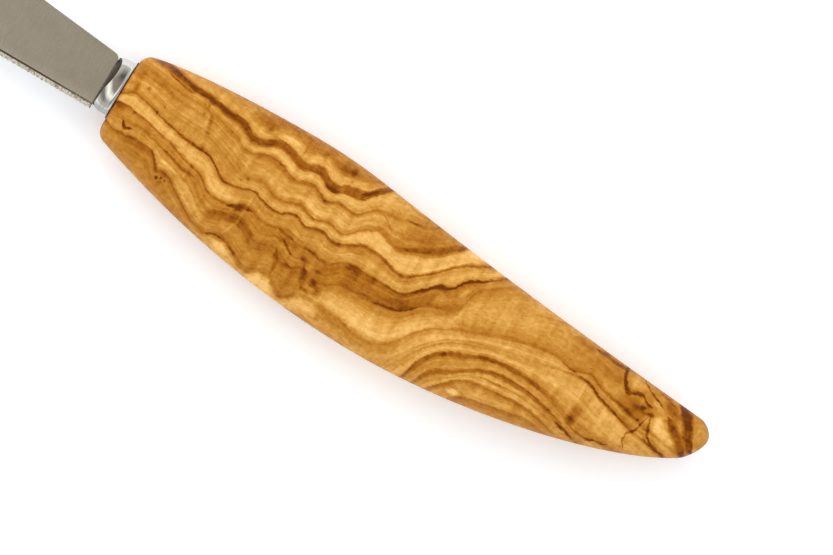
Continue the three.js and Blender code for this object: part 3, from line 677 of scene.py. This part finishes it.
# Dark strands off the lines: the change of tone, then (place, height, half width) along each.
strands = [
    (-0.35, [(4.5, 6.7, 0), (6, 6.15, 0.25), (8, 5.8, 0.3), (9.2, 5.55, 0.35), (10.4, 5.6, 0)]),
    (-0.20, [(9, -4.4, 0), (12, -5.1, 0.3), (14.5, -5.75, 0.5), (16.5, -5.85, 0.3), (18, -6.3, 0)]),
    (-0.62, [(2.4, -3.8, 0), (3.0, -4.6, 0.75), (3.5, -4.95, 0.5), (4.0, -4.7, 0.5),
             (4.7, -4.5, 0)]),
    (-0.10, [(8.6, -5.7, 0), (9.6, -6.4, 0.5), (10.5, -7.4, 0.6), (11.4, -8.3, 0.5),
             (12, -8.4, 0)]),
    (-0.42, [(23.6, -7.3, 0), (24.8, -6.9, 0.5), (25.6, -6.6, 0.7), (26.5, -6.2, 0.7),
             (27.3, -6.0, 0.4), (28.2, -5.9, 0)]),
    (-0.13, [(20.5, -10.6, 0), (22.5, -9.4, 1.0), (25, -8.4, 1.3), (27, -8.1, 1.3), (29, -9.0, 1.1),
             (31, -10, 0)]),
    (-0.25, [(32.6, -6.0, 0), (34, -6.35, 0.36), (35, -6.5, 0.42), (36.8, -6.7, 0)]),
    (-0.20, [(32.2, -7.4, 0), (34.2, -7.3, 0.6), (35, -7.2, 0.6), (36.2, -7.3, 0.5),
             (38, -7.2, 0)]),
    (-0.34, [(34.3, -7.2, 0), (35.4, -7.7, 0.4), (36.3, -8.3, 0.5), (37.2, -8.8, 0)]),
    (-0.20, [(33.6, -5.4, 0), (35, -5.6, 0.3), (36.5, -5.9, 0.3), (37.8, -6.0, 0)]),
    (-0.24, [(38.2, -6.6, 0), (40, -6.8, 0.4), (41.6, -7.1, 0)]),
    (-0.28, [(22.8, -13.1, 0), (23.8, -12.6, 0.35), (24.6, -12.2, 0.25), (26, -12.2, 0.12),
             (27.5, -12.7, 0.2), (28.7, -13.2, 0.4), (29.5, -13.8, 0)]),
    (-0.22, [(49.0, 8.1, 0), (51, 7.65, 0.3), (52.5, 7.6, 0.35), (54.9, 7.7, 0)]),
    (-0.26, [(41.5, 5.3, 0), (42.8, 6.2, 0.7), (44, 7.4, 0.9), (45.2, 8.5, 0.8), (46.4, 9.2, 0)]),
    (-0.20, [(45.8, 4.5, 0), (47.3, 4.1, 0.16), (48.5, 3.1, 0.16), (49.4, 2.3, 0)]),
    (-0.24, [(51.4, 1.2, 0), (52.6, 1.75, 0.5), (54.5, 2.7, 0.7), (56, 3.5, 0.9), (57.3, 4.4, 1.0),
             (58.5, 5.4, 0.9), (60.0, 6.4, 0.6), (61.4, 6.9, 0)]),
    (-0.25, [(51.6, -8.5, 0), (53, -8.2, 0.3), (55, -7.9, 0.36), (56.8, -7.2, 0.36),
             (58.2, -6.0, 0.3), (59.4, -4.7, 0)]),
    (-0.24, [(56.4, -4.3, 0), (57.6, -3.2, 0.4), (58.8, -2.1, 0.5), (60, -0.95, 0.5),
             (61.4, -0.6, 0.5), (62.3, 0.3, 0.4), (63.3, 1.9, 0.35), (64.4, 2.8, 0.35),
             (66, 3.7, 0.3), (67.5, 4.8, 0)]),
    (-0.26, [(73, -9.9, 0), (74, -9.7, 0.2), (76, -9.5, 0.25), (78.5, -9.3, 0)]),
    (-0.12, [(70.6, -7.2, 0), (71.6, -6.7, 0.6), (73, -6.5, 0.8), (76, -6.3, 0.85), (79, -6.3, 0.7),
             (82, -6.6, 0.4), (85, -7, 0)]),
    (-0.08, [(72, -9.4, 0), (74, -8.5, 0.5), (77, -8.1, 0.6), (80, -8.1, 0.6), (84, -8.8, 0.5),
             (87, -9.4, 0)]),
    (-0.16, [(82.6, -0.95, 0), (84, -1.15, 0.3), (86.5, -1.5, 0.3), (89, -1.9, 0.35),
             (91, -2.7, 0.35), (94, -3.6, 0.35), (97, -4.6, 0)]),
    (-0.32, [(86.4, 3.9, 0), (88, 3.5, 0.3), (89, 3.6, 0.4), (90, 3.4, 0.35), (92, 3.3, 0.4),
             (93, 3.3, 0.2)]),
    (-0.44, [(93, 2.4, 0), (93.6, 1.6, 0.65), (94.3, 0.8, 0.75), (95, 0.4, 0.75), (95.7, 0.7, 0.45),
             (96.6, 1.1, 0.4), (97.3, 1.1, 0.3), (98.2, 0.5, 0.3), (99, 0.2, 0.2), (99.8, 0, 0)]),
    (-0.40, [(96, 3.5, 0), (97.5, 2.6, 0.22), (99, 1.95, 0.25), (100.5, 1.35, 0.25),
             (101.7, 0.8, 0)]),
    (-0.30, [(98.5, 3.2, 0), (100.5, 2.9, 0.4), (102, 2.5, 0.4), (103.5, 2.0, 0)]),
    (-0.45, [(102.3, 0.3, 0), (103.3, -0.5, 1.1), (104.5, -1.3, 1.4), (105.8, -2.4, 1.4),
             (107, -3.4, 1.2), (107.8, -4.2, 0.8)]),
    (-0.56, [(103.4, 3.2, 0.9), (104.4, 2.2, 1.5), (105.3, 1.4, 2.0), (106, 0.5, 2.2),
             (106.7, -0.6, 2.1), (107.4, -1.6, 1.6), (108.2, -2.4, 1.0), (109, -3.2, 0)]),
    (-0.26, [(100.9, -4.1, 0), (101.8, -4.9, 0.32), (103, -5.3, 0.32), (104.8, -5.5, 0.25),
             (105.6, -5.4, 0)]),
    (-0.34, [(87, -9.9, 0), (88.2, -10.1, 0.3), (89.8, -10.5, 0.25), (91.4, -10.9, 0)]),
    (-0.34, [(89, -9.1, 0), (91, -9.5, 0.35), (93, -9.55, 0.36), (94.2, -9.1, 0.25),
             (95.8, -8.9, 0.25), (96.6, -8.4, 0)]),
]
# The same for strands that run across the handle, dark and pale, as (height, place, half width).
cross_strands = [
    (-0.20, [(-13.4, 35.6, 0), (-11.5, 35.4, 0.6), (-10.3, 35.0, 0.7), (-8.6, 34.2, 0)]),
    (-0.24, [(-13, 41, 0), (-11.8, 40.7, 0.8), (-10.3, 40.3, 0.9), (-8.6, 39.4, 0)]),
    (-0.50, [(0.9, 94.2, 0), (1.6, 93.6, 0.45), (2.3, 93.2, 0.5), (3, 93.05, 0.45),
             (3.6, 92.95, 0.4), (5, 92.9, 0.3)]),
    (-0.40, [(-6.1, 97.7, 0), (-5.5, 98.1, 0.3), (-4.8, 98.7, 0.32), (-3.8, 99.2, 0.25),
             (-2.5, 99.35, 0.2), (-0.8, 99.9, 0)]),
    (-0.35, [(-8.2, 99, 0), (-7.6, 98.6, 0.2), (-6.6, 98.0, 0.25), (-5.5, 98, 0)]),
    (-0.40, [(-5.2, 102.4, 0), (-4.6, 101.4, 0.4), (-3.6, 100.8, 0.4), (-2.5, 100.4, 0.35),
             (-0.9, 99.9, 0)]),
    (0.14, [(-12, 25.2, 0), (-10.5, 26, 0.4), (-8.4, 26.8, 0.3), (-4, 26.9, 0.25), (-2, 27.0, 0)]),
    (0.12, [(-5.2, 88.4, 0), (-4, 88.4, 0.3), (-2.4, 88.3, 0.3), (-1.8, 88.2, 0)]),
]
# Stains, pale pools and pores: (place, height, half length, half height, turn in degrees, change
# of tone), behind the bolster, in the waves, where the lines sweep up and at the knot, and at the
# tail.
stains = [[
    (3.6, 2.5, 0.4, 0.35, 0, -0.35), (7.3, 1.25, 0.3, 0.3, 0, -0.25),
    (6.7, -0.2, 0.3, 0.4, 0, -0.4), (13.4, 5.2, 0.35, 0.45, 0, -0.3),
    (12.6, 5.1, 0.25, 0.4, 0, -0.2), (13.3, 3.7, 0.3, 0.3, 0, -0.3),
    (15.2, 1.2, 0.6, 0.4, 0, -0.32), (16, -1.4, 1.2, 0.8, -20, -0.25),
    (14.8, 3.0, 0.5, 2.1, 18, -0.28), (11.9, -9.2, 0.38, 0.36, 0, -0.6),
    (12.6, -8.95, 0.28, 0.26, 0, -0.45), (13.4, -9.0, 0.32, 0.3, 0, -0.45),
    (0.9, -2.5, 1.4, 1.2, 0, -0.32), (1.8, 1.6, 0.8, 1.0, 0, -0.35),
    (12.4, -6.7, 2.2, 0.9, -10, 0.14), (15, -7.2, 2.2, 0.45, 0, -0.18),
    (17.5, -10.0, 3.2, 0.6, -33, 0.2), (11, 4, 2.5, 0.7, -5, 0.08), (5, 4.3, 3.5, 0.9, -6, -0.16),
    (2.8, 5.3, 2.6, 0.8, -8, -0.12), (3.6, -2.1, 0.35, 0.4, 0, -0.3),
    (10, -9.4, 6, 1.6, -12, -0.06), (1.6, 3.7, 1.6, 1.4, 0, -0.14),
], [
    (28, 7.2, 2.3, 0.8, 0, 0.2), (23.8, 6.8, 0.8, 0.7, 0, -0.25), (22.3, 7.6, 2.7, 1.2, 0, -0.34),
    (33.7, 7.8, 0.6, 1.1, 10, -0.16), (39.1, 7.4, 0.7, 1.8, 5, -0.18),
    (38, 7.9, 2.6, 1.2, 0, -0.26), (30.4, 6.7, 0.3, 0.9, 0, -0.2),
    (24.8, -1.8, 0.4, 0.45, 0, -0.25), (28.2, 3.0, 0.9, 0.3, -20, -0.15),
    (37.1, 1.7, 0.4, 0.6, 0, -0.2), (37, -1.9, 0.6, 0.3, 0, -0.25), (22, -5.6, 4, 1.3, 0, 0.12),
    (39.3, -8.3, 0.9, 0.7, 0, -0.3), (42, -8.8, 1.2, 0.45, 0, -0.26),
    (37.2, -10.6, 1.4, 0.35, 0, -0.25), (42.3, -10.8, 0.9, 1.0, 0, -0.3),
    (41.5, -12.5, 1.0, 0.4, 0, -0.3), (22.8, -10.8, 2.4, 1.1, 15, -0.16),
    (26.4, -13.5, 2.1, 1.2, 0, 0.2), (34.8, -15.1, 2.8, 1.4, 0, 0.15), (43, -14, 2.9, 1.7, 0, 0.24),
    (38.3, -13.3, 1.6, 1.6, 0, -0.12), (35.5, 0.2, 1.2, 1.4, 0, 0.1),
    (29.5, 9.2, 8.5, 0.9, 0, -0.12), (37.2, 3.8, 1.9, 0.7, 0, -0.26),
], [
    (54.5, 4.3, 4.8, 1.7, 12, -0.12), (61.5, -2.6, 2.6, 0.9, 32, 0.2),
    (64.1, 0.3, 2.0, 0.6, 66, 0.2), (46, -2.9, 2.2, 0.9, 0, -0.12), (46, -5.6, 1.0, 0.7, 20, -0.22),
    (51.4, 5.85, 1.6, 0.34, 10, -0.3), (50.2, -14, 0.6, 0.4, 0, -0.22),
    (45.8, -15.4, 0.6, 0.9, 0, -0.22), (43.6, -11.8, 1.0, 1.2, 0, -0.36),
    (55.5, -6.4, 3.2, 1.0, 18, -0.12), (61, -6, 3.5, 1.3, 38, -0.1), (52, -11.6, 3.5, 1.3, 0, 0.05),
    (47.5, 6.8, 2.5, 1.0, -8, 0.08), (63.4, -8.2, 2.2, 1.2, 45, 0.1),
    (73.4, -7.2, 3.2, 0.6, 4, -0.1), (64.2, -12.6, 0.8, 2.6, -20, -0.06),
    (77, -12.1, 4, 0.6, 8, 0.04), (70.6, -14.2, 2.0, 1.15, 8, -0.3),
    (70.6, -14.2, 1.4, 0.75, 8, 0.66), (66.3, -9.8, 0.7, 0.6, 0, -0.2),
    (84.5, 3.7, 1.6, 0.6, -5, -0.14), (66.4, -4.0, 0.35, 0.9, 15, -0.16),
], [
    (96.3, -1.3, 3.2, 1.8, -8, -0.36), (98, -1, 1.5, 1.3, 0, -0.26),
    (98.2, -0.5, 0.6, 0.4, 0, -0.35), (98.9, 0.3, 0.3, 0.25, 0, -0.35),
    (99.4, 0.2, 0.3, 0.25, 0, -0.3), (99.8, -0.95, 0.9, 0.5, 5, -0.6),
    (98.4, -2.8, 0.35, 0.4, 0, -0.45), (99.1, -0.1, 1.1, 0.7, -25, -0.2),
    (98.9, -1.9, 0.7, 1.2, -15, -0.18), (95.5, 2.3, 1.9, 1.1, -12, 0.22),
    (100.2, 0.9, 1.9, 0.5, -25, 0.22), (103.3, -3.1, 3.7, 1.6, -36, 0.3),
    (101.6, -1.2, 1.5, 0.9, -40, 0.22), (102.6, 1.5, 2.4, 0.9, -26, -0.34),
    (108.5, 0.6, 1.4, 2.2, 20, 0.16), (107.8, -3.3, 0.9, 0.9, -30, -0.22),
    (97, -6.2, 1.8, 1.7, 0, 0.12), (89.2, -7.3, 1.1, 2.4, 0, -0.34),
    (88.9, -8.4, 1.4, 0.9, -10, -0.22), (87.9, -10.1, 0.9, 0.4, -15, -0.4),
    (93.4, -9.4, 0.7, 0.5, 0, -0.25), (99.9, -4.9, 1.3, 0.5, -8, 0.38),
    (94, -9.2, 0.3, 0.3, 0, -0.3), (86.4, 3.2, 1.0, 1.2, 0, -0.14), (90, 1.2, 4.5, 1.0, -5, -0.08),
    (93.4, -5.6, 1.6, 1.6, 0, 0.1),
]]

FIGURE_LEAN = (0.45, -0.35, 0)
STAIN_CREEP = (0.06, 0.03, 0)
STAIN_LEVEL = 4  # height of a stain's middle over the axis
STAIN_DEPTH = 12  # its reach up and down from there
SOLID_CORE = 0.35  # share of a strand or stain that has the whole change of tone
OVER_SPINE_CM = 1.3
UNDER_BELLY = [(-2, -34), (112, -34)]


def curve(value, points, smooth=True):
    """A curve through points. Its range ends at 100, so lengths go in as centimetres."""
    made = add("FloatCurve", {"Value": value})
    mapping = made.mapping
    xs, ys = [p[0] for p in points], [p[1] for p in points]
    mapping.clip_min_x, mapping.clip_max_x = min(xs), max(xs)
    mapping.clip_min_y, mapping.clip_max_y = min(ys) - 1, max(ys) + 1
    drawn = mapping.curves[0]
    drawn.points[0].location = points[0]
    drawn.points[1].location = points[-1]
    for x, y in points[1:-1]:
        drawn.points.new(x, y)
    for p in drawn.points:
        p.handle_type = "AUTO_CLAMPED" if smooth else "VECTOR"
    mapping.update()
    return made.outputs["Value"]


def vector_maths(operation, first, second):
    """One sum on two vectors."""
    return add("VectorMath", {0: first, 1: second}, operation=operation).outputs[0]


def scaled(vector, by):
    """A vector made longer or shorter by a value."""
    return add("VectorMath", {0: vector, "Scale": by}, operation="SCALE").outputs[0]


def drift(stretch, reach, detail):
    """A push of the figure from side to side, from noise stretched along the wood."""
    clouds = add("TexNoise", {
        "Vector": stretched(place, stretch), "Scale": 1.0, "Detail": detail,
    }).outputs["Color"]
    level = vector_maths("SUBTRACT", clouds, (0.5, 0.5, 0.5))
    return vector_maths("MULTIPLY", level, reach)


# The figure leans as it goes down through the wood, and no line is drawn clean.
under = maths("MINIMUM", add("SeparateXYZ", {"Vector": place}).outputs["Z"], 0.0)
grown = place
for push in (
    scaled(FIGURE_LEAN, under),
    drift((0.10, 0.22, 0.2), (0.4, 0.5, 0), 3.0),
    drift((0.9, 2.6, 1.0), (0.45, 0.6, 0), 2.0),
):
    grown = vector_maths("ADD", grown, push)
figure = add("SeparateXYZ", {"Vector": grown})
along, across, deep = (figure.outputs[i] for i in range(3))
along_cm, across_cm = maths("MULTIPLY", along, 0.1), maths("MULTIPLY", across, 0.1)

# The growth goes up by one from each line to the next.
upper = OVER_SPINE_CM
growth = None
for line in grain_lines + [UNDER_BELLY]:
    lower = curve(along_cm, [(x / 10, y / 10) for x, y in line])
    step = remap(across_cm, upper, lower, 0.0, 1.0)
    growth = step if growth is None else maths("ADD", growth, step)
    upper = lower

# Each set of tones takes over from the last between two places.
tone = curve(growth, front_tones, smooth=False)
for tones, start, end in (
    (wave_tones, 20, 27),
    (sweep_tones + arc_tones, 42, 47),
    (knot_tones + arc_tones, 60, 66),
    (tail_tones, 82, 90),
):
    tone = mix(remap(along, start, end, 0.0, 1.0), tone, curve(growth, tones, smooth=False))
for run, rise, laid in ((along_cm, across_cm, strands), (across_cm, along_cm, cross_strands)):
    for change, points in laid:
        middle = curve(run, [(a / 10, b / 10) for a, b, _ in points])
        half = curve(run, [(a / 10, w / 10) for a, _, w in points], smooth=False)
        off = maths("ABSOLUTE", maths("SUBTRACT", rise, middle))
        share = maths("DIVIDE", off, maths("MAXIMUM", half, 0.001))
        tone = maths("ADD", tone, remap(share, SOLID_CORE, 1.0, change, 0.0))
for area in stains:
    # a stain creeps a little along the bands that are there already
    crept = vector_maths("ADD", grown, scaled(STAIN_CREEP, tone))
    for x, y, length, height, turn, change in area:
        spot = add("Mapping", {
            "Vector": crept,
            "Location": (x, y, STAIN_LEVEL),
            "Rotation": (0, 0, radians(turn)),
            "Scale": (length, height, STAIN_DEPTH),
        }, vector_type="TEXTURE").outputs["Vector"]
        reach = add("VectorMath", {0: spot}, operation="LENGTH").outputs["Value"]
        tone = maths("ADD", tone, remap(reach, SOLID_CORE, 1.05, change, 0.0))


def along_grain(length, width, depth):
    """Places that follow the growth lines, for texture drawn out along them."""
    return add("CombineXYZ", {
        "X": maths("MULTIPLY", along, length),
        "Y": maths("MULTIPLY", growth, width),
        "Z": maths("MULTIPLY", deep, depth),
    }).outputs[0]


# Finer lines between the growth lines, fibres, the ripple across the grain, a mottle, and short
# dark pores.
bands = noise(along_grain(0.035, 3.2, 0.1))
stripes = noise(along_grain(0.05, 9.0, 0.1), detail=3, roughness=0.6)
fibres = noise(along_grain(0.5, 26.0, 0.5), detail=3, roughness=0.7)
ripple = noise(stretched(grown, (0.8, 0.10, 0.1)))
mottle = noise(stretched(grown, (1.1, 1.5, 0.8)), detail=3, roughness=0.65)
pore_cells = add("TexVoronoi", {"Vector": stretched(grown, (0.8, 1.9, 0.8)), "Scale": 1.0})
pore_chance = add("SeparateXYZ", {"Vector": pore_cells.outputs["Color"]}).outputs["X"]
pore_size = remap(pore_chance, 0.72, 1.0, 0.0, 0.26)
pores = remap(maths("SUBTRACT", pore_cells.outputs["Distance"], pore_size), -0.10, 0.0, 1.0, 0.0)
for texture, low, change in (
    (bands, 0.30, 0.11),
    (stripes, 0.30, 0.085),
    (fibres, 0.28, 0.065),
    (ripple, 0.30, 0.08),
    (mottle, 0.30, 0.10),
):
    tone = maths("ADD", tone, remap(texture, low, 1 - low, -change, change))
tone = maths("SUBTRACT", tone, maths("MULTIPLY", pores, 0.16))
# the front face and its corner are painted darker: painted shade along the joint with the bolster,
# and end grain that has taken up more oil
from_front = add("SeparateXYZ", {"Vector": place}).outputs["X"]
tone = maths("ADD", tone, remap(from_front, 0.05, 0.35, -0.3, 0.0))
join(ramp(tone, [
    (0.00, srgb(104, 50, 6)),
    (0.12, srgb(134, 72, 9)),
    (0.27, srgb(158, 94, 21)),
    (0.45, srgb(178, 117, 38)),
    (0.60, srgb(193, 134, 53)),
    (0.75, srgb(212, 156, 75)),
    (0.90, srgb(229, 175, 96)),
    (1.00, srgb(240, 190, 113)),
]), shader.inputs["Base Color"])
join(remap(fibres, 0.3, 0.7, 0.50, 0.40), shader.inputs["Roughness"])
shader.inputs["Specular IOR Level"].default_value = 0.04
sanded = add("Bump", {"Strength": 0.15, "Distance": 0.00005, "Height": fibres})
join(sanded.outputs["Normal"], shader.inputs["Normal"])

handle = finished_piece(bm, "handle_olive", olive_wood, crease=40)
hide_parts("handle")

# --------------------------------------------------------------------------------------------------
# Studio: the knife lies on a plain white sheet in a pale, evenly lit room, under a broad soft lamp
# that stands past the blade on the spine side.

SHEET_HALF = 3.0
SHEET_WHITER = 1.28
BOARDS_TURN = 45.0
LAMP_PLACE = Vector((-0.45, 0.40, 0.55))
LAMP_SIDE = 0.6
LAMP_ENERGY = 1.5

# White paper, which the camera and the steel see a little whiter than the wood does.
sheet_white, shader = start_material("sheet_white")
tooth = noise(drawing_place())
paper = ramp(tooth, [(0.3, (0.86, 0.89, 0.92, 1)), (0.7, (0.872, 0.902, 0.932, 1))])
rays = add("LightPath", {}).outputs
mirrored = maths("MAXIMUM", rays["Is Glossy Ray"], rays["Is Transmission Ray"])
shown = maths("MAXIMUM", rays["Is Camera Ray"], mirrored)
matt = add("BsdfDiffuse", {"Color": scaled(paper, remap(shown, 0.0, 1.0, 1.0, SHEET_WHITER))})
join(matt.outputs[0], tree.nodes["Material Output"].inputs["Surface"])
bm = bmesh.new()
bmesh.ops.create_grid(bm, x_segments=4, y_segments=4, size=SHEET_HALF)
mesh = bpy.data.meshes.new("sheet")
bm.to_mesh(mesh)
bm.free()
mesh.materials.append(sheet_white)
sheet = bpy.data.objects.new("sheet", mesh)
bpy.context.collection.objects.link(sheet)

room = bpy.data.worlds.new("room")
room.use_nodes = True
bpy.context.scene.world = room
tree = room.node_tree
outward = add("TexCoord", {}).outputs["Generated"]
upward = add("SeparateXYZ", {"Vector": outward}).outputs["Z"]
even_light = add("Background", {"Color": ramp(upward, [
    (0.0, (1.12, 1.12, 1.12, 1)),
    (1.0, (1.06, 1.06, 1.06, 1)),
])})
# What the steel mirrors: boards that stand a little turned from the knife, bright on the edge side
# and dim on the spine side, under a warm grey ceiling, with pale walls past their ends.
from_boards = add("SeparateXYZ", {"Vector": add("Mapping", {
    "Vector": outward, "Rotation": (0, 0, radians(BOARDS_TURN)),
}).outputs["Vector"]}).outputs
slant = remap(maths("ARCTAN2", from_boards["Y"], from_boards["Z"]), -pi / 2, pi / 2, 0.0, 1.0)
boards = ramp(slant, [
    (0.06, (0.80, 0.79, 0.76, 1)),
    (0.16, (0.34, 0.32, 0.29, 1)),
    (0.23, (0.32, 0.30, 0.27, 1)),
    (0.29, (1.10, 1.09, 1.06, 1)),
    (0.35, (1.75, 1.74, 1.71, 1)),
    (0.41, (1.15, 1.13, 1.08, 1)),
    (0.46, (0.42, 0.375, 0.30, 1)),
    (0.55, (0.405, 0.36, 0.285, 1)),
    (0.62, (0.26, 0.245, 0.21, 1)),
    (0.68, (0.14, 0.132, 0.11, 1)),
    (0.78, (0.16, 0.152, 0.13, 1)),
    (0.85, (0.30, 0.29, 0.27, 1)),
    (0.95, (0.85, 0.85, 0.84, 1)),
])
past_ends = remap(maths("ABSOLUTE", from_boards["X"]), 0.45, 0.80, 0.0, 1.0)
around = add("Background", {"Color": add("Mix", {
    "Factor": past_ends, "A": boards, "B": (0.80, 0.79, 0.77, 1),
}, data_type="RGBA").outputs["Result"]})
in_steel = add("LightPath", {}).outputs["Is Glossy Ray"]
both = add("MixShader", {0: in_steel, 1: even_light.outputs[0], 2: around.outputs[0]})
join(both.outputs[0], tree.nodes["World Output"].inputs["Surface"])

lamp = bpy.data.lights.new("soft_lamp", "AREA")
lamp.shape = "RECTANGLE"
lamp.size, lamp.size_y = LAMP_SIDE, LAMP_SIDE
lamp.energy = LAMP_ENERGY
soft_lamp = bpy.data.objects.new("soft_lamp", lamp)
bpy.context.collection.objects.link(soft_lamp)
soft_lamp.visible_glossy = False
facing_knife = LAMP_PLACE.to_track_quat("Z", "Y").to_matrix().to_4x4()
soft_lamp.matrix_world = Matrix.Translation(LAMP_PLACE) @ facing_knife

# --------------------------------------------------------------------------------------------------
# Camera: straight above and far off, with a long lens, turned so that the knife runs down to the
# right and the blade leaves the picture.

SENSOR_WIDTH = 36.0
LENS = 800.0
CAMERA_TURN = 31.0
FRAME_WIDTH = 0.1344
FRAME_CENTRE = Vector((0.05612, -0.00142, 0))

camera_data = bpy.data.cameras.new("camera")
camera_data.sensor_width = SENSOR_WIDTH
camera_data.lens = LENS
camera = bpy.data.objects.new("camera", camera_data)
bpy.context.collection.objects.link(camera)
stand = axis_point + FRAME_CENTRE + Vector((0, 0, FRAME_WIDTH * LENS / SENSOR_WIDTH))
camera.matrix_world = Matrix.Translation(stand) @ Matrix.Rotation(radians(CAMERA_TURN), 4, "Z")
bpy.context.scene.camera = camera
bpy.context.scene.view_settings.view_transform = "Standard"
